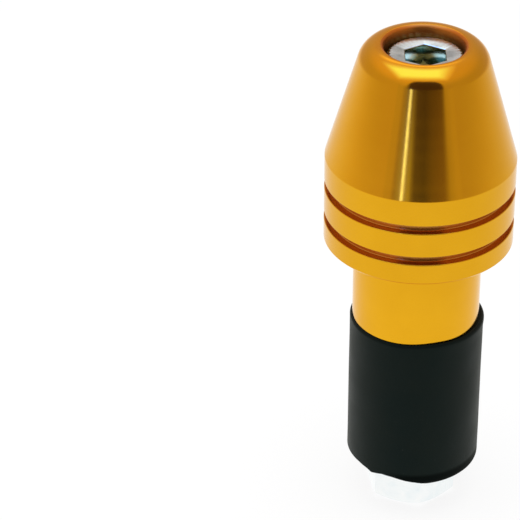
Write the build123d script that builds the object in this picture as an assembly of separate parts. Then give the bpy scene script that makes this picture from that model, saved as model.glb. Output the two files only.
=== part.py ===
from build123d import *
import math
import os

# Bar end weight for a tubular handlebar, held by an expanding rubber sleeve.
# The turned weight stands outside the bar, with its shoulder against the bar's end and its neck inside.
# A socket head screw runs down the axis, through the rubber, to a hex nut.
# Tightening the screw draws the nut up and squeezes the rubber, which swells and grips the bar.
# Lengths are in millimetres. Z is the bar's axis: the shoulder is at Z = 0 and the nose points to +Z.

# Weight body
BAND_DIAMETER = 25.0
BAND_LENGTH = 12.25
GROOVE_WIDTH = 1.2
GROOVE_DEPTH = 1.0
GROOVE_COUNT = 2
GROOVE_PITCH = 4.6
FIRST_GROOVE_HEIGHT = 3.55
CONE_HALF_ANGLE = 16.1
NOSE_RADIUS = 3.75
NOSE_CROWN_HEIGHT = 28.7
MOUTH_LIP_RADIUS = 0.9
NECK_DIAMETER = 17.0
NECK_LENGTH = 12.05
EDGE_BREAK = 0.15

# Clamp screw, an M6 socket head cap screw
SCREW_DIAMETER = 6.0
HEAD_DIAMETER = 10.0
HEAD_HEIGHT = 6.0
HEAD_EDGE = 0.35
HEAD_SINK = 1.8
SOCKET_ACROSS_FLATS = 5.0
SOCKET_DEPTH = 3.0
SOCKET_MOUTH_STEP = 0.15
SOCKET_POINT_SLOPE = 30.0
SCREW_POINT = 0.7
SCREW_TIP_INSET = 0.85

# Rubber sleeve
RUBBER_DIAMETER = 17.9
RUBBER_LENGTH = 22.5
RUBBER_EDGE_BREAK = 0.5

# Hex nut, M6
NUT_ACROSS_FLATS = 11.0
NUT_HEIGHT = 5.4
NUT_FACE_SHARE = 0.95
NUT_CHAMFER_SLOPE = 30.0
NUT_COUNTERSINK = 0.35
NUT_TURN = 8.0

# Radial clearances round the screw
HEAD_CLEARANCE = 0.3
BODY_HOLE_CLEARANCE = 0.3
RUBBER_HOLE_CLEARANCE = 0.4
NUT_THREAD_CLEARANCE = 0.05

# Heights where the pieces seat on each other
neck_end = -NECK_LENGTH
rubber_end = neck_end - RUBBER_LENGTH
nut_end = rubber_end - NUT_HEIGHT
head_top = NOSE_CROWN_HEIGHT - HEAD_SINK
head_seat = head_top - HEAD_HEIGHT
screw_tip = nut_end + SCREW_TIP_INSET


def turned(half_section):
    """Revolve a half section, drawn with radius as X and height as Y, about the bar's axis."""
    return revolve(Plane.XZ * half_section, Axis.Z)


def hexagon(across_flats):
    """A hexagon with two corners on the Y axis, so that two of its flats face along X."""
    return RegularPolygon(across_flats / math.sqrt(3), 6, rotation=30)


def groove_section(height):
    """One square-cut groove, as the area that the turning tool takes out of the band."""
    bottom_radius = BAND_DIAMETER / 2 - GROOVE_DEPTH
    tool = Rectangle(2 * GROOVE_DEPTH, GROOVE_WIDTH, align=(Align.MIN, Align.CENTER))
    return Pos(bottom_radius, height) * tool


def weight_body():
    """The weight, turned from one bar: nose, cone, grooved band, shoulder and neck, with a stepped bore."""
    band_radius = BAND_DIAMETER / 2
    neck_radius = NECK_DIAMETER / 2
    hole_radius = SCREW_DIAMETER / 2 + BODY_HOLE_CLEARANCE
    mouth_radius = HEAD_DIAMETER / 2 + HEAD_CLEARANCE
    slope = math.radians(CONE_HALF_ANGLE)

    # The nose arc leaves the cone without an edge and ends at the bore's mouth
    arc_z = NOSE_CROWN_HEIGHT - NOSE_RADIUS
    cone_radius_there = band_radius - (arc_z - BAND_LENGTH) * math.tan(slope)
    arc_r = cone_radius_there - NOSE_RADIUS / math.cos(slope)
    arc_start = (arc_r + NOSE_RADIUS * math.cos(slope), arc_z + NOSE_RADIUS * math.sin(slope))
    mouth_angle = math.acos((mouth_radius - arc_r) / NOSE_RADIUS)
    arc_end = (mouth_radius, arc_z + NOSE_RADIUS * math.sin(mouth_angle))
    mid_angle = (slope + mouth_angle) / 2
    arc_middle = (arc_r + NOSE_RADIUS * math.cos(mid_angle), arc_z + NOSE_RADIUS * math.sin(mid_angle))

    outside = Polyline(
        (hole_radius, neck_end),
        (neck_radius - EDGE_BREAK, neck_end),
        (neck_radius, neck_end + EDGE_BREAK),
        (neck_radius, 0),
        (band_radius - EDGE_BREAK, 0),
        (band_radius, EDGE_BREAK),
        (band_radius, BAND_LENGTH),
        arc_start,
    )
    nose = ThreePointArc(arc_start, arc_middle, arc_end)
    bore = Polyline(arc_end, (mouth_radius, head_seat), (hole_radius, head_seat), (hole_radius, neck_end))
    section = make_face(outside + nose + bore)
    mouth_corner = section.vertices().sort_by_distance((*arc_end, 0))[0]
    section = fillet(mouth_corner, MOUTH_LIP_RADIUS)
    for index in range(GROOVE_COUNT):
        section -= groove_section(FIRST_GROOVE_HEIGHT + index * GROOVE_PITCH)
    return turned(section)


def clamp_screw():
    """The screw: a chamfered head with a forged hex socket, a plain shank and a pointed end."""
    shank_radius = SCREW_DIAMETER / 2
    head_radius = HEAD_DIAMETER / 2
    outline = Polyline(
        (0, screw_tip),
        (shank_radius - SCREW_POINT, screw_tip),
        (shank_radius, screw_tip + SCREW_POINT),
        (shank_radius, head_seat),
        (head_radius, head_seat),
        (head_radius, head_top - HEAD_EDGE),
        (head_radius - HEAD_EDGE, head_top),
        (0, head_top),
        close=True,
    )
    screw = turned(make_face(outline))

    # The socket has a small step at its mouth and a shallow point at its floor
    floor = head_top - SOCKET_DEPTH
    flat_radius = SOCKET_ACROSS_FLATS / 2
    mouth_radius = flat_radius + SOCKET_MOUTH_STEP
    point_depth = flat_radius * math.tan(math.radians(SOCKET_POINT_SLOPE))
    socket = Pos(0, 0, floor) * extrude(hexagon(SOCKET_ACROSS_FLATS), SOCKET_DEPTH)
    socket_point = Polyline((0, floor), (flat_radius, floor), (0, floor - point_depth), close=True)
    socket_mouth = Polyline(
        (0, head_top),
        (mouth_radius, head_top),
        (flat_radius, head_top - SOCKET_MOUTH_STEP),
        (0, head_top - SOCKET_MOUTH_STEP),
        close=True,
    )
    return screw - socket - turned(make_face(socket_point)) - turned(make_face(socket_mouth))


def rubber_sleeve():
    """The expanding sleeve: a thick rubber tube between the neck and the nut, with its outer edges softened."""
    hole_radius = SCREW_DIAMETER / 2 + RUBBER_HOLE_CLEARANCE
    outer_radius = RUBBER_DIAMETER / 2
    outline = Polyline(
        (hole_radius, rubber_end),
        (outer_radius - RUBBER_EDGE_BREAK, rubber_end),
        (outer_radius, rubber_end + RUBBER_EDGE_BREAK),
        (outer_radius, neck_end - RUBBER_EDGE_BREAK),
        (outer_radius - RUBBER_EDGE_BREAK, neck_end),
        (hole_radius, neck_end),
        close=True,
    )
    return turned(make_face(outline))


def hex_nut():
    """The nut: a hexagon with both faces chamfered round and both ends of its hole countersunk."""
    hole_radius = SCREW_DIAMETER / 2 + NUT_THREAD_CLEARANCE
    sink_radius = hole_radius + NUT_COUNTERSINK
    face_radius = NUT_FACE_SHARE * NUT_ACROSS_FLATS / 2
    corner_radius = NUT_ACROSS_FLATS / math.sqrt(3)
    chamfer_drop = (corner_radius - face_radius) * math.tan(math.radians(NUT_CHAMFER_SLOPE))
    section = Polyline(
        (hole_radius, nut_end + NUT_COUNTERSINK),
        (sink_radius, nut_end),
        (face_radius, nut_end),
        (corner_radius, nut_end + chamfer_drop),
        (corner_radius, rubber_end - chamfer_drop),
        (face_radius, rubber_end),
        (sink_radius, rubber_end),
        (hole_radius, rubber_end - NUT_COUNTERSINK),
        close=True,
    )
    prism = Pos(0, 0, nut_end) * Rot(0, 0, NUT_TURN) * extrude(hexagon(NUT_ACROSS_FLATS), NUT_HEIGHT)
    return prism & turned(make_face(section))


os.makedirs("parts", exist_ok=True)
export_step(weight_body(), "parts/weight_body.step")
export_step(clamp_screw(), "parts/clamp_screw.step")
export_step(rubber_sleeve(), "parts/rubber_sleeve.step")
export_step(hex_nut(), "parts/hex_nut.step")
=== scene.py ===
import math

import bmesh
import bpy
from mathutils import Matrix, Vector, noise


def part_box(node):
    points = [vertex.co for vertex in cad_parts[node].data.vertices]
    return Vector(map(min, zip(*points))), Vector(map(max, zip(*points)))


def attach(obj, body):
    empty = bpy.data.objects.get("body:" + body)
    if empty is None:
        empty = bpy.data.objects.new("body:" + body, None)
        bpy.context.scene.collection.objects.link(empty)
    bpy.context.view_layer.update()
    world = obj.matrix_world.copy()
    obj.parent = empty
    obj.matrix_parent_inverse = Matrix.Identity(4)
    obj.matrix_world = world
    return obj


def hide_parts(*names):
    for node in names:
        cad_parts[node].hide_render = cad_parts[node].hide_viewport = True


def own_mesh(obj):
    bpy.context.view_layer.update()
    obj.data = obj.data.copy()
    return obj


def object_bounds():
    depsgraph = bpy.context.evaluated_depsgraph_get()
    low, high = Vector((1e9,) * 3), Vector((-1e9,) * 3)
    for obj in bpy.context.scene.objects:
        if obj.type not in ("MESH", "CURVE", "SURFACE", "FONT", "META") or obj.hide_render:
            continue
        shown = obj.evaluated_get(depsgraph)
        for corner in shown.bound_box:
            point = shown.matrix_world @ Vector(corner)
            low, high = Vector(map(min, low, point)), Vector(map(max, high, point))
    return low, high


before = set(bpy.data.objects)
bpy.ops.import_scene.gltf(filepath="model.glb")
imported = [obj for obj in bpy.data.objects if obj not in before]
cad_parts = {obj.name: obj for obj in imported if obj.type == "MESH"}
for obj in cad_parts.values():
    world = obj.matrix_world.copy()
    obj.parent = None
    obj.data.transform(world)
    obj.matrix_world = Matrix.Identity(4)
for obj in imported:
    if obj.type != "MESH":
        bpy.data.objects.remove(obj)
cad_low, cad_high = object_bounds()


# The weight: one piece turned from aluminium bar, polished and then anodised gold.
# Its shoulder stops against the end of the bar, its neck goes inside, and the nose is
# counterbored so that the screw's head lies below the rim.
MM = 0.001
SHARP_EDGE = math.radians(28)
MERGE_DISTANCE = 1e-7
weight_low, weight_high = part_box("weight_body")
screw_low, screw_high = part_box("clamp_screw")
turned_count = 288
band_radius = weight_high.x
band_length = 12.25 * MM
band_edge = 0.6 * MM
groove_heights = (3.55 * MM, 8.15 * MM)
groove_width = 1.2 * MM
groove_depth = 1.0 * MM
groove_edge = 0.1 * MM
groove_corner = 0.15 * MM
shoulder_chamfer = 0.25 * MM
chamfer_edge = 0.04 * MM
neck_radius = 8.5 * MM
neck_root = 0.06 * MM
neck_end = weight_low.z
neck_edge = 0.15 * MM
cone_half_angle = math.radians(16.1)
cone_start = 3 * MM
nose_radius = 2.96 * MM
nose_crown = 28.27 * MM
nose_steps = 36
mouth_radius = 5.25 * MM
lip_radius = 0.5 * MM
lip_steps = 16
bore_start = 0.3 * MM
head_height = 6.0 * MM
head_seat = screw_high.z - head_height
seat_corner = 0.15 * MM
seat_edge = 0.1 * MM
screw_hole_radius = 3.3 * MM
hole_low = neck_end + 6 * MM
hole_high = head_seat - 2 * MM


def arc(centre, radius, start, end, steps):
    """Points along an arc of a profile, from one angle to another, both ends included."""
    angles = [start + (end - start) * step / steps for step in range(steps + 1)]
    return [Vector((centre.x + radius * math.cos(a), centre.y + radius * math.sin(a))) for a in angles]


def softened(corners, steps=4):
    """An open profile through (radius, height, rounding) corners, each but the ends turned into an arc.

    A point is added just outside each arc, so that smooth shading keeps the flats flat.
    """
    just_outside = 1.3
    places = [Vector(corner[:2]) for corner in corners]
    points = [places[0]]
    for before, here, after, corner in zip(places, places[1:], places[2:], corners[1:]):
        back = (before - here).normalized()
        on = (after - here).normalized()
        half_turn = back.angle(on) / 2
        rounding = corner[2]
        reach = rounding / math.tan(half_turn)
        centre = here + (back + on).normalized() * rounding / math.sin(half_turn)
        first = here + back * reach - centre
        last = here + on * reach - centre
        points.append(here + back * reach * just_outside)
        points += [centre + first.slerp(last, step / steps) * rounding for step in range(steps + 1)]
        points.append(here + on * reach * just_outside)
    return points + [places[-1]]


def turned(profile, count):
    """One ring of points round the axis for each point of a profile of radius and height."""
    angles = [math.tau * j / count for j in range(count)]
    return [[Vector((p.x * math.cos(a), p.x * math.sin(a), p.y)) for a in angles] for p in profile]


def skin(name, rings, loop):
    """A piece whose faces join each ring of points to the next, and the last to the first in a loop."""
    count = len(rings[0])
    faces = []
    for k in range(len(rings) if loop else len(rings) - 1):
        here = k * count
        there = (k + 1) % len(rings) * count
        for j in range(count):
            ahead = (j + 1) % count
            faces.append((here + j, here + ahead, there + ahead, there + j))
    mesh = bpy.data.meshes.new(name)
    mesh.from_pydata([point for ring in rings for point in ring], [], faces)
    cleaner = bmesh.new()
    cleaner.from_mesh(mesh)
    bmesh.ops.remove_doubles(cleaner, verts=cleaner.verts, dist=MERGE_DISTANCE)
    bmesh.ops.recalc_face_normals(cleaner, faces=cleaner.faces)
    cleaner.to_mesh(mesh)
    cleaner.free()
    mesh.shade_smooth()
    mesh.set_sharp_from_angle(angle=SHARP_EDGE)
    piece = bpy.data.objects.new(name, mesh)
    bpy.context.scene.collection.objects.link(piece)
    return piece


def groove(height):
    """The corners of a square-cut groove: edges just broken, and the floor's corners a little round."""
    low = height - groove_width / 2
    high = height + groove_width / 2
    floor_radius = band_radius - groove_depth
    return [(band_radius, low, groove_edge), (floor_radius, low, groove_corner),
            (floor_radius, high, groove_corner), (band_radius, high, groove_edge)]


arc_height = nose_crown - nose_radius
cone_radius_there = band_radius - (arc_height - band_length) * math.tan(cone_half_angle)
nose_centre = Vector((cone_radius_there - nose_radius / math.cos(cone_half_angle), arc_height))
lip_x = mouth_radius + lip_radius - nose_centre.x
lip_angle = math.acos(lip_x / (nose_radius - lip_radius))
lip_centre = nose_centre + (nose_radius - lip_radius) * Vector((math.cos(lip_angle), math.sin(lip_angle)))
cone_slope = Vector((-math.sin(cone_half_angle), math.cos(cone_half_angle)))

weight_profile = softened([
    (screw_hole_radius, hole_low, 0),
    (screw_hole_radius, neck_end, neck_edge),
    (neck_radius, neck_end, neck_edge),
    (neck_radius, 0, neck_root),
    (band_radius - shoulder_chamfer, 0, chamfer_edge),
    (band_radius, shoulder_chamfer, chamfer_edge),
    *groove(groove_heights[0]),
    *groove(groove_heights[1]),
    (band_radius, band_length, band_edge),
    (band_radius + cone_slope.x * cone_start, band_length + cone_slope.y * cone_start, 0),
])
weight_profile += arc(nose_centre, nose_radius, cone_half_angle, lip_angle, nose_steps)
weight_profile += arc(lip_centre, lip_radius, lip_angle, math.pi, lip_steps)[1:]
weight_profile += softened([
    (mouth_radius, lip_centre.y - bore_start, 0),
    (mouth_radius, head_seat, seat_corner),
    (screw_hole_radius, head_seat, seat_edge),
    (screw_hole_radius, hole_high, 0),
])
weight = skin("anodised_weight", turned(weight_profile, turned_count), loop=True)


def set_inputs(tree, made, inputs):
    """Set a node's inputs to values, or link them to sockets, by name or number."""
    for key, value in inputs.items():
        if isinstance(value, bpy.types.NodeSocket):
            tree.links.new(value, made.inputs[key])
        else:
            made.inputs[key].default_value = value


def add_node(tree, kind, inputs=None, **settings):
    """Add a shader node with its own settings, and set or link its inputs."""
    made = tree.nodes.new(kind)
    for name, value in settings.items():
        setattr(made, name, value)
    set_inputs(tree, made, inputs or {})
    return made


def reckon(tree, operation, *terms, clamp=False):
    """One math node on values or sockets. Gives its result as a socket."""
    made = add_node(tree, "ShaderNodeMath", dict(enumerate(terms)), operation=operation, use_clamp=clamp)
    return made.outputs[0]


def graded(tree, value, start, end, low=0.0, high=1.0, smooth=False):
    """A value that goes from low to high between a start and an end, as a socket."""
    ends = {"Value": value, "From Min": start, "From Max": end, "To Min": low, "To Max": high}
    way = "SMOOTHSTEP" if smooth else "LINEAR"
    return add_node(tree, "ShaderNodeMapRange", ends, interpolation_type=way).outputs[0]


MIX_SHARE = 0
MIX_BASE = 6
MIX_OTHER = 7
MIX_COLOUR = 2


def blend(tree, share, base, other):
    """A mix of two colours, as a socket: the base where the share is 0, the other where it is 1."""
    inputs = {MIX_SHARE: share, MIX_BASE: base, MIX_OTHER: other}
    return add_node(tree, "ShaderNodeMix", inputs, data_type="RGBA").outputs[MIX_COLOUR]


def object_axes(tree):
    """Sockets that give a surface point's X, Y and Z."""
    place = add_node(tree, "ShaderNodeTexCoord").outputs["Object"]
    return add_node(tree, "ShaderNodeSeparateXYZ", {0: place}).outputs


def radius_and_height(tree):
    """Sockets that give a surface point's distance from the axis and its height."""
    axes = object_axes(tree)
    flat = add_node(tree, "ShaderNodeCombineXYZ", {"X": axes["X"], "Y": axes["Y"]}).outputs[0]
    radius = add_node(tree, "ShaderNodeVectorMath", {0: flat}, operation="LENGTH").outputs["Value"]
    return radius, axes["Z"]


def new_group(name, inputs, outputs):
    """An empty shader node group with value inputs, given with their defaults, and value outputs."""
    group = bpy.data.node_groups.new(name, "ShaderNodeTree")
    for socket, default in inputs.items():
        made = group.interface.new_socket(socket, in_out="INPUT", socket_type="NodeSocketFloat")
        made.default_value = default
    for socket in outputs:
        group.interface.new_socket(socket, in_out="OUTPUT", socket_type="NodeSocketFloat")
    return group, add_node(group, "NodeGroupInput").outputs, add_node(group, "NodeGroupOutput")


def lathe_marks_group():
    """Fine rings left by the cutting tool: noise that changes along the profile and not round the axis."""
    group, given, result = new_group("lathe_marks", {"Spacing": 0.1 * MM}, ("Marks", "Bands"))
    radius, height = radius_and_height(group)
    place = add_node(group, "ShaderNodeCombineXYZ", {"X": radius, "Y": height}).outputs[0]
    density = reckon(group, "DIVIDE", 1.0, given["Spacing"])
    scaled = add_node(group, "ShaderNodeVectorMath", {0: place, "Scale": density}, operation="SCALE")
    for output, scale, detail in (("Marks", 1.0, 3.0), ("Bands", 0.06, 1.0)):
        pattern = add_node(group, "ShaderNodeTexNoise",
                           {"Vector": scaled.outputs[0], "Scale": scale, "Detail": detail},
                           noise_dimensions="2D")
        group.links.new(pattern.outputs["Fac"], result.inputs[output])
    return group


def mottle_group():
    """Soft uneven patches of a given size, for tints, dull spots and patches of painted shade in a finish.
    """
    middle = 0.5
    group, given, result = new_group("mottle", {"Size": 1.0 * MM, "Contrast": 1.0}, ("Patches",))
    place = add_node(group, "ShaderNodeTexCoord").outputs["Object"]
    density = reckon(group, "DIVIDE", 1.0, given["Size"])
    cloud = add_node(group, "ShaderNodeTexNoise", {"Vector": place, "Scale": density, "Detail": 5.0})
    centred = reckon(group, "SUBTRACT", cloud.outputs["Fac"], middle)
    spread = reckon(group, "MULTIPLY_ADD", centred, given["Contrast"], middle, clamp=True)
    group.links.new(spread, result.inputs["Patches"])
    return group


def recess_group():
    """A mask for the inside of a hole on the axis: within a radius, and between its floor and mouth."""
    sizes = {"Radius": 1.0 * MM, "Floor": 0.0, "Mouth": 1.0 * MM, "Fade": 0.1 * MM}
    group, given, result = new_group("recess", sizes, ("Inside",))
    radius, height = radius_and_height(group)
    depth = reckon(group, "SUBTRACT", given["Mouth"], height)
    below = reckon(group, "DIVIDE", depth, given["Fade"], clamp=True)
    within = reckon(group, "LESS_THAN", radius, given["Radius"])
    above = reckon(group, "GREATER_THAN", height, given["Floor"])
    held = reckon(group, "MULTIPLY", within, above)
    inside = reckon(group, "MULTIPLY", held, below)
    group.links.new(inside, result.inputs["Inside"])
    return group


lathe_marks = lathe_marks_group()
mottle = mottle_group()
recess = recess_group()


def tool_rings(tree, spacing):
    """The lathe marks placed in a material: a socket for the fine marks and one for the broad bands."""
    placed = add_node(tree, "ShaderNodeGroup", {"Spacing": spacing}, node_tree=lathe_marks).outputs
    return placed["Marks"], placed["Bands"]


def patches(tree, size, contrast):
    """The mottle placed in a material, as a mask socket."""
    values = {"Size": size, "Contrast": contrast}
    return add_node(tree, "ShaderNodeGroup", values, node_tree=mottle).outputs["Patches"]


def hole_mask(tree, radius, floor, mouth, fade):
    """The recess placed in a material, as a mask socket."""
    sizes = {"Radius": radius, "Floor": floor, "Mouth": mouth, "Fade": fade}
    return add_node(tree, "ShaderNodeGroup", sizes, node_tree=recess).outputs["Inside"]


def bumped(tree, height, strength, distance):
    """Fine relief from a height, as a normal socket."""
    values = {"Height": height, "Strength": strength, "Distance": distance}
    return add_node(tree, "ShaderNodeBump", values).outputs[0]


def new_finish(name):
    """A new material, its node tree and its shader."""
    material = bpy.data.materials.new(name)
    material.use_nodes = True
    return material, material.node_tree, material.node_tree.nodes["Principled BSDF"]


mark_strength = 0.1
mark_depth = 0.004 * MM


def gold_anodised():
    """Bright aluminium under a dyed, clear oxide layer, with faint tool rings.

    The bore, its lip and the grooves are not polished. Their darker colours are painted shade; on the lip
    it dims the softbox's reflection.
    """
    deep_gold = (0.745, 0.370, 0.007, 1)
    pale_gold = (0.785, 0.400, 0.009, 1)
    # Painted shade: the lip is darker, to dim its reflection of the softbox.
    lip_shade_gold = (0.60, 0.19, 0.02, 1)
    # Painted shade deep in the bore.
    painted_bore_shade = (0.29, 0.105, 0.013, 1)
    # Painted shade in the grooves.
    painted_groove_shade = (0.62, 0.28, 0.05, 1)
    dye_patch = 6 * MM
    ring_spacing = 0.09 * MM
    bore_reach = mouth_radius + 0.15 * MM
    bore_top = lip_centre.y - 0.1 * MM
    bore_fade = 0.6 * MM
    lip_reach = mouth_radius + 0.4 * MM
    lip_top = lip_centre.y + 0.58 * MM
    lip_fade = 0.15 * MM
    groove_reach = band_radius - 0.08 * MM
    band_margin = 0.1 * MM
    groove_fade = 0.05 * MM
    polish = (0.10, 0.15)
    groove_dullness = 0.1
    lip_dullness = 0.3
    material, tree, shader = new_finish("gold_anodised")
    marks, bands = tool_rings(tree, ring_spacing)
    dye = patches(tree, dye_patch, contrast=2.0)
    bore = hole_mask(tree, bore_reach, neck_end, bore_top, bore_fade)
    lip = hole_mask(tree, lip_reach, neck_end, lip_top, lip_fade)
    cut = hole_mask(tree, groove_reach, band_margin, band_length - band_margin, groove_fade)
    dyed = blend(tree, dye, deep_gold, pale_gold)
    grooved = blend(tree, cut, dyed, painted_groove_shade)
    lipped = blend(tree, lip, grooved, lip_shade_gold)
    scored = reckon(tree, "MULTIPLY_ADD", cut, groove_dullness, graded(tree, bands, 0, 1, *polish))
    set_inputs(tree, shader, {
        "Base Color": blend(tree, bore, lipped, painted_bore_shade),
        "Roughness": reckon(tree, "MULTIPLY_ADD", lip, lip_dullness, scored),
        "Normal": bumped(tree, marks, mark_strength, mark_depth),
        "Tangent": add_node(tree, "ShaderNodeTangent", direction_type="RADIAL", axis="Z").outputs[0],
        "Metallic": 1.0,
        "Anisotropic": 0.7,
        "Anisotropic Rotation": 0.25,
        "Specular Tint": (1.0, 0.95, 0.85, 1),
        "Coat Weight": 0.12,
        "Coat Roughness": 0.25,
    })
    return material


weight.data.materials.append(gold_anodised())
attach(weight, "weight")
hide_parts("weight_body")


# The clamp screw: a standard M6 socket head cap screw of steel, cold forged and zinc plated.
# Its head is knurled and sits on the floor of the counterbore, with the hex socket open to the nose.
# The lower end of its shank has a rolled thread, which runs in the nut. It leans a little in its hole.
ROUND_COUNT = 192
THREAD_PITCH = 1.0 * MM
THREAD_CREST = 2.97 * MM
THREAD_ROOT = 2.42 * MM
crest_share = 0.12
flank_share = 0.63
thread_length = 24 * MM
thread_steps = 10
head_radius = screw_high.x
head_top = screw_high.z
head_edge = 0.35 * MM
knurl_teeth = 40
knurl_depth = 0.22 * MM
face_radius = head_radius - head_edge
face_dish = 0.13 * MM
face_rim = 0.5 * MM
rim_dish = face_dish * 0.25
socket_flat = 2.57 * MM
socket_depth = 3.0 * MM
socket_floor = head_top - socket_depth
socket_edge = 0.18 * MM
socket_point = socket_flat * math.tan(math.radians(30))
shank_radius = 3.0 * MM
shank_fillet = 0.25 * MM
edge_steps = 5
screw_tip = screw_low.z
tip_bevel = 0.7 * MM
lean = 0.16 * MM


def hex_radius(angle, flat_distance, turn):
    """How far a hexagon's side is from the axis in one direction. Unturned, two corners are on Y."""
    from_flat = (angle - turn + math.pi / 6) % (math.pi / 3) - math.pi / 6
    return flat_distance / math.cos(from_flat)


def thread_radius(angle, height):
    """The radius of the screw's right-hand thread: a flat crest, a flat root and straight flanks."""
    phase = (height / THREAD_PITCH - angle / math.tau) % 1.0
    from_crest = abs(phase - 0.5) * 2
    share = min(max((from_crest - crest_share) / flank_share, 0.0), 1.0)
    return THREAD_CREST + (THREAD_ROOT - THREAD_CREST) * share


def ring(radius_at, height_at, turn=0.0):
    """A ring of points, from a first angle on, with radius and height as functions of the angle."""
    points = []
    for j in range(ROUND_COUNT):
        angle = turn + math.tau * j / ROUND_COUNT
        radius = radius_at(angle)
        points.append(Vector((radius * math.cos(angle), radius * math.sin(angle), height_at(angle))))
    return points


def plain_ring(radius, height, turn=0.0):
    """A plain circle of points."""
    return ring(lambda angle: radius, lambda angle: height, turn)


def socket_ring(widening, height):
    """A ring of the hex socket, with its flats moved out by a widening."""
    return ring(lambda angle: hex_radius(angle, socket_flat + widening, 0), lambda angle: height)


def knurled(angle):
    """The head's side, with straight teeth pressed into it."""
    tooth = abs(angle * knurl_teeth / math.tau % 1.0 - 0.5) * 2
    return head_radius - knurl_depth * tooth


screw_rings = [
    plain_ring(0, socket_floor - socket_point),
    plain_ring(socket_flat / 2, socket_floor - socket_point / 2),
    plain_ring(socket_flat, socket_floor),
    socket_ring(0, socket_floor),
]
edge_centre = Vector((socket_edge, head_top - face_dish - socket_edge))
for point in arc(edge_centre, socket_edge, math.pi, math.pi / 2, edge_steps):
    screw_rings.append(socket_ring(point.x, point.y))
screw_rings += [
    plain_ring(face_radius - face_rim, head_top - rim_dish),
    ring(lambda angle: knurled(angle) - head_edge, lambda angle: head_top),
    ring(knurled, lambda angle: head_top - head_edge),
    ring(knurled, lambda angle: head_top - 2 * head_edge),
    ring(knurled, lambda angle: head_seat + head_edge),
    plain_ring(face_radius, head_seat),
]
fillet_centre = Vector((shank_radius + shank_fillet, head_seat - shank_fillet))
for point in arc(fillet_centre, shank_fillet, math.pi / 2, math.pi, edge_steps):
    screw_rings.append(plain_ring(point.x, point.y))
thread_top = screw_tip + thread_length
screw_rings.append(plain_ring(shank_radius, thread_top + THREAD_PITCH))
for step in range(round(thread_length / THREAD_PITCH * thread_steps) + 1):
    height = thread_top - step * THREAD_PITCH / thread_steps
    fade = min(step / thread_steps, 1.0)
    bevel = shank_radius - tip_bevel + max(height - screw_tip, 0)
    screw_rings.append(ring(
        lambda angle: min(shank_radius + (thread_radius(angle, height) - shank_radius) * fade, bevel),
        lambda angle: height,
    ))
screw_rings.append(plain_ring(0, screw_tip))
for points in screw_rings:
    for point in points:
        point.x += lean * (point.z - screw_tip) / (head_top - screw_tip)
screw = skin("socket_screw", screw_rings, loop=False)


def zinc_plated():
    """Bright zinc on forged steel, with a cool tint and fine tool rings.

    On the head it is bluer, a painted tint against the warm light it mirrors, and painted grey shade in
    patches, but for the far edge, left bright as a painted reflection. In the socket the walls and the
    middle are painted shade, the floor a painted highlight.
    """
    bright_zinc = (0.90, 0.91, 0.90, 1)
    cool_zinc = (0.80, 0.85, 0.86, 1)
    # Painted tint: the head is made bluer to offset the warm light that it mirrors.
    head_zinc_against_warm_light = (0.70, 0.94, 1.0, 1)
    # Painted shade: grey patches over the head, kept off the far edge, which is left bright as a painted
    # reflection.
    painted_shade_zinc = (0.42, 0.58, 0.63, 1)
    # Painted shade on the socket's walls.
    painted_socket_shade = (0.38, 0.44, 0.34, 1)
    # Painted highlight: the socket's floor is made bright, as its reflections would make it.
    painted_socket_highlight = (1.0, 0.86, 0.54, 1)
    # Painted shade in the middle of the socket's floor, its deepest point.
    painted_bottom_shade = (0.055, 0.12, 0.08, 1)
    ring_spacing = 0.12 * MM
    tint_patch = 1.6 * MM
    head_shade_patch = 2.2 * MM
    far_reflection_ends = (2.0 * MM, 3.4 * MM)
    head_margin = 1.0 * MM
    socket_reach = 3.25 * MM
    socket_top = head_top - face_dish - 0.02 * MM
    wall_fade = 0.1 * MM
    floor_fade = 0.05 * MM
    bottom_shade_radius = 1.8 * MM
    polish = (0.16, 0.24)
    socket_dullness = -0.08
    material, tree, shader = new_finish("zinc_plated")
    marks, bands = tool_rings(tree, ring_spacing)
    tint = patches(tree, tint_patch, contrast=2.2)
    head_shade_patches = patches(tree, head_shade_patch, contrast=4.0)
    head = hole_mask(tree, head_radius + head_margin, head_seat, head_top + head_margin, wall_fade)
    socket = hole_mask(tree, socket_reach, head_seat, socket_top, wall_fade)
    floored = hole_mask(tree, socket_reach, head_seat, socket_floor + floor_fade, floor_fade)
    bottom = hole_mask(tree, bottom_shade_radius, head_seat, socket_floor, wall_fade)
    # Painted shade fades out towards the far edge of the head, which stays bright as a painted reflection.
    near = graded(tree, object_axes(tree)["Y"], *far_reflection_ends, 1.0, 0.0)
    head_shade_share = reckon(tree, "MULTIPLY", near, head)
    painted_head_shade = reckon(tree, "MULTIPLY", head_shade_patches, head_shade_share)
    plain = blend(tree, tint, bright_zinc, cool_zinc)
    plated = blend(tree, head, plain, head_zinc_against_warm_light)
    wear_and_painted_shade = blend(tree, painted_head_shade, plated, painted_shade_zinc)
    socket_shaded = blend(tree, socket, wear_and_painted_shade, painted_socket_shade)
    socket_floor_lit = blend(tree, floored, socket_shaded, painted_socket_highlight)
    plating = graded(tree, bands, 0, 1, *polish)
    set_inputs(tree, shader, {
        "Base Color": blend(tree, bottom, socket_floor_lit, painted_bottom_shade),
        "Roughness": reckon(tree, "MULTIPLY_ADD", socket, socket_dullness, plating),
        "Normal": bumped(tree, marks, mark_strength, mark_depth),
        "Metallic": 1.0,
    })
    return material


zinc = zinc_plated()
screw.data.materials.append(zinc)
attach(screw, "screw")
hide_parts("clamp_screw")


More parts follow.
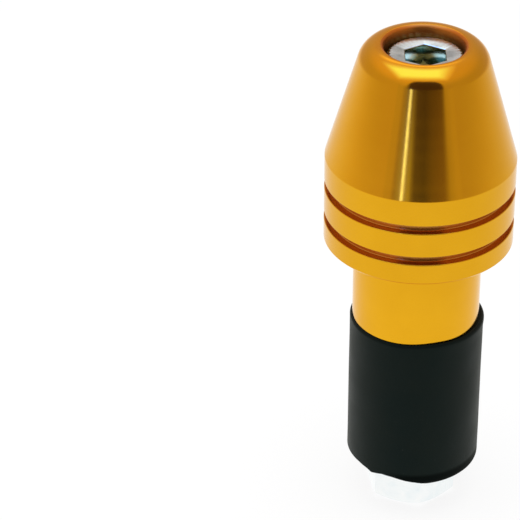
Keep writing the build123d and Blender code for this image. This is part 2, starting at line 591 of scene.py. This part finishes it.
# The rubber sleeve: a length of thick black rubber tube between the neck and the nut, cut by hand.
# A knife has trimmed two slices off the lower edge, and the sleeve sits a little to one side of the neck.
# In use it shortens as the nut is drawn up; this script builds it at one length.
rubber_low, rubber_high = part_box("rubber_sleeve")
rubber_radius = rubber_high.x
rubber_end = rubber_low.z
rubber_top = rubber_high.z
rubber_middle = (rubber_top + rubber_end) / 2
rubber_hole = 3.4 * MM
hole_edge = 0.1 * MM
seam_gap = 0.5 * MM
lower_edge = 0.8 * MM
upper_edge = 0.45 * MM
rounding_steps = 8
longest_run = 0.4 * MM
nut_reach = 6.6 * MM
side_shift = 0.15 * MM
trims = (
    (-130, 0), (-105, 1.25), (-57, 1.3), (-46, 1.1), (-41, 0.8),
    (-30, 1.2), (-20, 1.15), (0, 0.6), (14, 0),
)
trim_run = 1.2 * MM
lip_bulge = 0.1 * MM
lip_height = 1.5 * MM
rim_rise = 0.1 * MM
rim_swell = 0.2 * MM
swell_azimuth = 12
swell_width = 22
rim_gap = 0.05 * MM
unevenness = 0.05 * MM
waves_across = 2
wave_length = 6 * MM


def ease(value, start, end):
    """A smooth step from 0 at start to 1 at end."""
    share = min(max((value - start) / (end - start), 0.0), 1.0)
    return share * share * (3 - 2 * share)


def trimmed(azimuth):
    """How much the knife took off the lower edge, at an azimuth in degrees from the front."""
    for (start, before), (end, after) in zip(trims, trims[1:]):
        if start <= azimuth < end:
            return (before + (after - before) * (azimuth - start) / (end - start)) * MM
    return 0.0


def hand_cut(point):
    """Move a point of the plain tube to where the hand-cut rubber has it."""
    radius = math.hypot(point.x, point.y)
    outward = Vector((point.x, point.y, 0)).normalized()
    skin_share = ease(radius, nut_reach, rubber_radius)
    lip_share = ease(point.z, rubber_top - lip_height, rubber_top - upper_edge)
    bulge = lip_bulge * max(outward.x, 0) ** 3 * lip_share
    place = Vector((outward.x * waves_across, outward.y * waves_across, point.z / wave_length))
    wander = unevenness * noise.noise(place)
    azimuth = math.degrees(math.atan2(point.x, -point.y))
    cut_height = rubber_end + trimmed(azimuth) * ease(radius, nut_reach, nut_reach + trim_run)
    rise = rim_rise + rim_swell * math.exp(-((azimuth - swell_azimuth) / swell_width) ** 2)
    moved = point + outward * (bulge + wander) * skin_share
    moved.x += side_shift
    moved.z = max(moved.z, cut_height)
    if radius > neck_radius + rim_gap:
        moved.z += rise * lip_share
    return moved


def divided(profile, longest):
    """The same profile with its long straight runs divided, so that they can be bent."""
    points = [profile[0]]
    for before, after in zip(profile, profile[1:]):
        parts = max(1, math.ceil((after - before).length / longest))
        points += [before.lerp(after, part / parts) for part in range(1, parts + 1)]
    return points


rubber_profile = softened([
    (rubber_hole, rubber_middle, 0),
    (rubber_hole, rubber_end, hole_edge),
    (rubber_radius, rubber_end, lower_edge),
    (rubber_radius, rubber_top, upper_edge),
    (rubber_hole, rubber_top, hole_edge),
    (rubber_hole, rubber_middle + seam_gap, 0),
], steps=rounding_steps)
tube_rings = turned(divided(rubber_profile, longest_run), ROUND_COUNT)
cut_rings = [[hand_cut(point) for point in points] for points in tube_rings]
rubber = skin("rubber_expander", cut_rings, loop=True)


def black_rubber():
    """Matte black rubber with a fine grain, faint smears and a few specks of dust.

    On the side that the knife has left whole, the lower edge is rougher and darker: painted shade where it
    faces the floor.
    """
    soot = (0.0010, 0.0036, 0.0028, 1)
    wear_and_painted_shade = (0.0042, 0.0066, 0.0048, 1)
    dust = (0.03, 0.03, 0.028, 1)
    # Painted shade for the lower edge, where it faces the floor, on the side that the knife left whole.
    painted_edge_shade = (0.0006, 0.0014, 0.0007, 1)
    smear_patch = 4 * MM
    grain_size = 0.12 * MM
    grain_strength = 0.35
    grain_depth = 0.03 * MM
    speck_size = 0.3 * MM
    speck_levels = (0.70, 0.78)
    edge_height = 2.0 * MM
    edge_fade = 0.6 * MM
    whole_side = (-4.0 * MM, -1.5 * MM)
    matte = (0.5, 0.62)
    edge_dullness = 0.5
    material, tree, shader = new_finish("black_rubber")
    smears = patches(tree, smear_patch, contrast=2.0)
    grain = patches(tree, grain_size, contrast=1.5)
    specks = patches(tree, speck_size, contrast=1.0)
    low = hole_mask(tree, 2 * rubber_radius, rubber_end - MM, rubber_end + edge_height, edge_fade)
    whole = graded(tree, object_axes(tree)["X"], *whole_side)
    edge = reckon(tree, "MULTIPLY", low, whole)
    smeared = blend(tree, smears, soot, wear_and_painted_shade)
    dusty = blend(tree, graded(tree, specks, *speck_levels), smeared, dust)
    dull = graded(tree, smears, 0, 1, *matte)
    set_inputs(tree, shader, {
        "Base Color": blend(tree, edge, dusty, painted_edge_shade),
        "Roughness": reckon(tree, "MULTIPLY_ADD", edge, edge_dullness, dull, clamp=True),
        "Normal": bumped(tree, grain, grain_strength, grain_depth),
        "Specular Tint": (0.62, 1.0, 0.92, 1),
        "Specular IOR Level": 0.1,
        "Sheen Weight": 0.11,
        "Sheen Roughness": 0.4,
        "Sheen Tint": (0.97, 1.0, 0.86, 1),
    })
    return material


rubber.data.materials.append(black_rubber())
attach(rubber, "weight")
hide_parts("rubber_sleeve")
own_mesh(rubber)


# The hex nut: a plain M6 nut of steel, zinc plated, with both faces chamfered round.
# It bears on the sleeve's lower end, which keeps it from turning, and the screw draws it up.
nut_low, nut_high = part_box("hex_nut")
nut_flat = 5.5 * MM
nut_face = 0.95 * nut_flat
nut_turn = math.radians(8)
nut_slope = math.tan(math.radians(30))
nut_sink = 3.4 * MM
face_margin = 0.1 * MM
thread_gap = 0.05 * MM


def nut_side(angle):
    """The nut's hexagonal side."""
    return hex_radius(angle, nut_flat, nut_turn)


def chamfer_drop(angle):
    """How far below the face the round chamfer meets the nut's side."""
    return (nut_side(angle) - nut_face) * nut_slope


face_radii = (nut_sink, nut_sink + face_margin, nut_face - face_margin, nut_face)
nut_rings = [plain_ring(radius, nut_high.z, nut_turn) for radius in face_radii]
nut_rings.append(ring(nut_side, lambda angle: nut_high.z - chamfer_drop(angle), nut_turn))
nut_rings.append(ring(nut_side, lambda angle: nut_low.z + chamfer_drop(angle), nut_turn))
nut_rings += [plain_ring(radius, nut_low.z, nut_turn) for radius in reversed(face_radii)]
for step in range(1, round((nut_high.z - nut_low.z) / THREAD_PITCH * thread_steps)):
    height = nut_low.z + step * THREAD_PITCH / thread_steps
    countersink = nut_sink - min(height - nut_low.z, nut_high.z - height)
    nut_rings.append(ring(
        lambda angle: max(thread_radius(angle, height) + thread_gap, countersink),
        lambda angle: height,
        nut_turn,
    ))
nut = skin("zinc_nut", nut_rings, loop=True)
nut.data.materials.append(zinc)
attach(nut, "nut")
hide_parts("hex_nut")


# The studio: a white floor that fades into a white background, a softbox overhead, a dark card behind
# the camera and a thin strip lamp in front of the card. The card, the strip and the softbox's cloth
# show only as reflections in the metal. The card's levels go by azimuth in degrees from the front.
floor_size = 3.0
floor_height = cad_low.z
card_radius = 0.9
card_azimuths = (-45, 45)
card_steps = 36
card_top = 1.02
card_arch = 7.0
card_least = 0.3
card_foot = (0.03, 0.125)
low_levels = (
    (-45, (0.62, 0.51, 0.4)), (-37, (0.60, 0.49, 0.4)), (-33, (0.38, 0.32, 0.3)),
    (-28.5, (0.46, 0.48, 0.3)), (-20, (0.54, 0.58, 0.3)), (-16.5, (0.58, 0.60, 0.3)),
    (-13.5, (0.28, 0.26, 0.2)), (-10, (0.13, 0.115, 0.16)), (1, (0.095, 0.085, 0.14)),
    (10, (0.19, 0.145, 0.16)), (24.7, (0.26, 0.18, 0.18)), (31.7, (0.50, 0.42, 0.3)),
    (40, (0.62, 0.51, 0.4)),
)
high_levels = (
    (-45, (0.60, 0.49, 0.4)), (-37, (0.60, 0.49, 0.4)), (-33, (0.48, 0.39, 0.3)),
    (-29.5, (0.34, 0.27, 0.2)), (-26, (0.07, 0.042, 0.08)), (0, (0.06, 0.036, 0.08)),
    (27.7, (0.07, 0.042, 0.08)), (31.7, (0.55, 0.42, 0.4)), (45, (0.55, 0.42, 0.4)),
)
strip_radius = 0.97 * card_radius
strip_colour = (2.0, 2.75, 22)
strip_ends = ((floor_height, -25.6, 1.7), (0.112, -21.8, 4.2))
softbox_colour = (1.35, 2.1, 4.8)
softbox_fringe = (1.1, 1.0, 1.5)
overhead = (0.9, 0.64, 0.5)
softbox_depth = 0.80
softbox_front = 0.95
softbox_back = 0.48
softbox_core = 0.13
softbox_place = (-0.06, 0.0, 0.53)


def bare_material(name):
    """A new material with no shader yet, and its node tree."""
    material, tree, shader = new_finish(name)
    tree.nodes.remove(shader)
    return material, tree


def surface(tree, shader):
    """Put a shader socket on a material's surface."""
    tree.links.new(shader, tree.nodes["Material Output"].inputs["Surface"])


def level_ramp(tree, value, low, high, levels):
    """A ramp of light colours along a value that runs from low to high. Gives its colour socket."""
    ramp = add_node(tree, "ShaderNodeValToRGB", {"Fac": graded(tree, value, low, high)})
    stops = ramp.color_ramp.elements
    while len(stops) < len(levels):
        stops.new(0.5)
    for stop, (place, level) in zip(stops, levels):
        stop.position = (place - low) / (high - low)
        stop.color = (*level, 1)
    return ramp.outputs["Color"]


def dark_card_glow():
    """The card's light: dark in the middle, lighter at its sides and here and there near its foot."""
    material, tree = bare_material("dark_card")
    axes = object_axes(tree)
    toward = reckon(tree, "MULTIPLY", axes["Y"], -1.0)
    azimuth = reckon(tree, "DEGREES", reckon(tree, "ARCTAN2", axes["X"], toward))
    low = level_ramp(tree, azimuth, *card_azimuths, low_levels)
    high = level_ramp(tree, azimuth, *card_azimuths, high_levels)
    level = blend(tree, graded(tree, axes["Z"], *card_foot, smooth=True), low, high)
    surface(tree, add_node(tree, "ShaderNodeEmission", {"Color": level}).outputs[0])
    return material


def strip_glow():
    """The tall thin lamp that stands in front of the card."""
    material, tree = bare_material("strip_lamp")
    surface(tree, add_node(tree, "ShaderNodeEmission", {"Color": (*strip_colour, 1)}).outputs[0])
    return material


def softbox_glow():
    """The softbox's cloth: even in the middle and fading to its edges."""
    material, tree = bare_material("softbox_cloth")
    axes = object_axes(tree)
    even_share = 0.5
    fringe_share = 0.8
    half_depth = softbox_depth / 2
    half_width = graded(tree, axes["Y"], -half_depth, half_depth, softbox_front / 2, softbox_back / 2)
    across = reckon(tree, "DIVIDE", reckon(tree, "ABSOLUTE", axes["X"]), half_width)
    along = graded(tree, reckon(tree, "ABSOLUTE", axes["Y"]), softbox_core, half_depth, even_share, 1.0)
    levels = (
        (0, softbox_colour), (even_share, softbox_colour), (fringe_share, softbox_fringe), (1, overhead),
    )
    level = level_ramp(tree, reckon(tree, "MAXIMUM", across, along), 0, 1, levels)
    surface(tree, add_node(tree, "ShaderNodeEmission", {"Color": level}).outputs[0])
    return material


def white_floor():
    """White paper, which takes the object's shadow, and is plain white where it is seen far off. In
    reflections it is
    a painted glow without the shadow: brightest near the object, dimmer and warmer farther off, brighter to
    the left.

    From below it is clear.
    """
    paper_white = (0.88, 0.88, 0.88, 1)
    seen_paper = (0.2, 0.2, 0.2, 1)
    seen_lift = (0.83, 0.83, 0.83, 1)
    plain_white = (1, 1, 1, 1)
    shadow_ends = (0.06, 0.25)
    floor_glow_reach = 1.4
    # Painted light: in reflections the floor glows, brightest near the object and warmer far off, with no
    # shadow.
    floor_glow_levels = (
        (0, (1.1, 1.1, 1.1)), (0.05, (1.08, 1.08, 1.08)), (0.08, (1.0, 1.0, 1.0)), (0.1, (1.0, 1.0, 1.0)),
        (0.3, (0.91, 0.83, 0.8)), (0.5, (0.82, 0.68, 0.6)), (0.75, (0.74, 0.61, 0.5)),
        (floor_glow_reach, (0.66, 0.54, 0.45)),
    )
    side_ends = (-0.2, 0.25)
    side_levels = (1.03, 0.9)
    material, tree = bare_material("white_floor")
    place = add_node(tree, "ShaderNodeTexCoord").outputs["Object"]
    distance = add_node(tree, "ShaderNodeVectorMath", {0: place}, operation="LENGTH").outputs["Value"]
    rays = add_node(tree, "ShaderNodeLightPath").outputs
    tone = blend(tree, rays["Is Camera Ray"], paper_white, seen_paper)
    paper = add_node(tree, "ShaderNodeBsdfDiffuse", {"Color": tone}).outputs[0]
    lift = add_node(tree, "ShaderNodeEmission", {"Color": seen_lift, "Strength": rays["Is Camera Ray"]})
    near = add_node(tree, "ShaderNodeAddShader", {0: paper, 1: lift.outputs[0]}).outputs[0]
    white = add_node(tree, "ShaderNodeEmission", {"Color": plain_white}).outputs[0]
    far_off = graded(tree, distance, *shadow_ends, smooth=True)
    share = reckon(tree, "MULTIPLY", far_off, rays["Is Camera Ray"])
    seen = add_node(tree, "ShaderNodeMixShader", {0: share, 1: near, 2: white}).outputs[0]
    level = level_ramp(tree, distance, 0.0, floor_glow_reach, floor_glow_levels)
    side = graded(tree, object_axes(tree)["X"], *side_ends, *side_levels)
    painted_floor_glow = add_node(tree, "ShaderNodeEmission", {"Color": level, "Strength": side}).outputs[0]
    lit = add_node(tree, "ShaderNodeMixShader", {0: rays["Is Glossy Ray"], 1: seen, 2: painted_floor_glow})
    under = add_node(tree, "ShaderNodeNewGeometry").outputs["Backfacing"]
    clear = add_node(tree, "ShaderNodeBsdfTransparent").outputs[0]
    surface(tree, add_node(tree, "ShaderNodeMixShader", {0: under, 1: lit.outputs[0], 2: clear}).outputs[0])
    return material


def stage_piece(name, points, faces, material):
    """A floor, card or lamp of the studio, which isn't part of the object."""
    mesh = bpy.data.meshes.new(name)
    mesh.from_pydata(points, [], faces)
    mesh.materials.append(material)
    made = bpy.data.objects.new(name, mesh)
    bpy.context.scene.collection.objects.link(made)
    return made


def mirrored_only(card):
    """Let a card show only as a reflection in the metal."""
    card.visible_camera = False
    card.visible_diffuse = False
    card.visible_shadow = False


def round_place(radius, turn, height):
    """A place at a distance from the axis, turned from the front, at a height."""
    return (radius * math.sin(turn), -radius * math.cos(turn), height)


square = ((-1, -1), (1, -1), (1, 1), (-1, 1))
floor_points = [(x * floor_size, y * floor_size, 0) for x, y in square]
floor = stage_piece("floor", floor_points, [(0, 1, 2, 3)], white_floor())
floor.location.z = floor_height

card_points = []
for step in range(card_steps + 1):
    turn = math.radians(card_azimuths[0] + (card_azimuths[1] - card_azimuths[0]) * step / card_steps)
    arched_top = max(card_top - card_arch * abs(turn) ** 4, card_least)
    for height in (floor_height, arched_top):
        card_points.append(round_place(card_radius, turn, height))
card_faces = [(2 * k, 2 * k + 2, 2 * k + 3, 2 * k + 1) for k in range(card_steps)]
mirrored_only(stage_piece("dark_card", card_points, card_faces, dark_card_glow()))

strip_points = []
for height, azimuth, width in strip_ends:
    for turn in (math.radians(azimuth - width / 2), math.radians(azimuth + width / 2)):
        strip_points.append(round_place(strip_radius, turn, height))
mirrored_only(stage_piece("strip_lamp", strip_points, [(0, 1, 3, 2)], strip_glow()))

cloth_points = []
for x, y in square:
    width = softbox_front if y < 0 else softbox_back
    cloth_points.append((x * width / 2, y * softbox_depth / 2, 0))
cloth = stage_piece("softbox_cloth", cloth_points, [(0, 1, 2, 3)], softbox_glow())
cloth.location = softbox_place
mirrored_only(cloth)

lamp_level = 0.9
lamp_data = bpy.data.lights.new("softbox_lamp", "AREA")
lamp_data.shape = "RECTANGLE"
lamp_data.size = 0.6
lamp_data.size_y = 0.42
lamp_data.energy = lamp_level * math.pi * lamp_data.size * lamp_data.size_y
lamp = bpy.data.objects.new("softbox_lamp", lamp_data)
lamp.location = softbox_place
lamp.visible_glossy = False
bpy.context.scene.collection.objects.link(lamp)

backdrop_white = (1, 1, 1, 1)
room_white = (0.8, 0.8, 0.8, 1)
tent_foot = (0.65, 0.51, 0.42)
tent_rise = (0.3, 0.8)
tent_sides = (-0.5, 0.5)
tent_side_levels = (1.03, 0.88)
panel_start = (0.1, 0.4)
panel_edge = (0.08, 0.3)
panel_levels = (
    (0, tent_foot), (0.5, (0.70, 0.49, 0.43)), (0.58, (0.80, 0.60, 0.53)), (0.64, (1.55, 1.22, 1.12)),
    (0.70, (1.55, 1.22, 1.12)), (0.76, (0.9, 0.66, 0.55)), (1, (0.95, 0.70, 0.6)),
)
world = bpy.data.worlds.new("studio")
world.use_nodes = True
bpy.context.scene.world = world
tree = world.node_tree
backdrop = tree.nodes["Background"]
backdrop.inputs["Color"].default_value = backdrop_white
direction = add_node(tree, "ShaderNodeTexCoord").outputs["Generated"]
axes = add_node(tree, "ShaderNodeSeparateXYZ", {0: direction}).outputs
above = graded(tree, axes["Z"], *tent_rise, smooth=True)
side_tone = blend(tree, above, (*tent_foot, 1), (*overhead, 1))
back_tone = level_ramp(tree, axes["Z"], 0, 1, panel_levels)
behind = graded(tree, axes["Y"], *panel_start, smooth=True)
middle = graded(tree, reckon(tree, "ABSOLUTE", axes["X"]), *panel_edge, 1.0, 0.0, smooth=True)
tent_tone = blend(tree, reckon(tree, "MULTIPLY", behind, middle), side_tone, back_tone)
side = graded(tree, axes["X"], *tent_sides, *tent_side_levels)
tent = add_node(tree, "ShaderNodeBackground", {"Color": tent_tone, "Strength": side}).outputs[0]
room = add_node(tree, "ShaderNodeBackground", {"Color": room_white}).outputs[0]
rays = add_node(tree, "ShaderNodeLightPath").outputs
lit = add_node(tree, "ShaderNodeMixShader", {0: rays["Is Glossy Ray"], 1: room, 2: tent}).outputs[0]
mixed = add_node(tree, "ShaderNodeMixShader", {0: rays["Is Camera Ray"], 1: lit, 2: backdrop.outputs[0]})
tree.links.new(mixed.outputs[0], tree.nodes["World Output"].inputs["Surface"])

camera_data = bpy.data.cameras.new("camera")
camera_data.sensor_width = 36
camera_data.lens = 196.3
camera_data.clip_start = 0.01
camera = bpy.data.objects.new("camera", camera_data)
camera.location = (-0.02087, -0.3200, 0.19435)
camera.rotation_euler = (math.radians(58.217), 0, 0)
bpy.context.scene.collection.objects.link(camera)
bpy.context.scene.camera = camera
bpy.context.scene.view_settings.view_transform = "Standard"
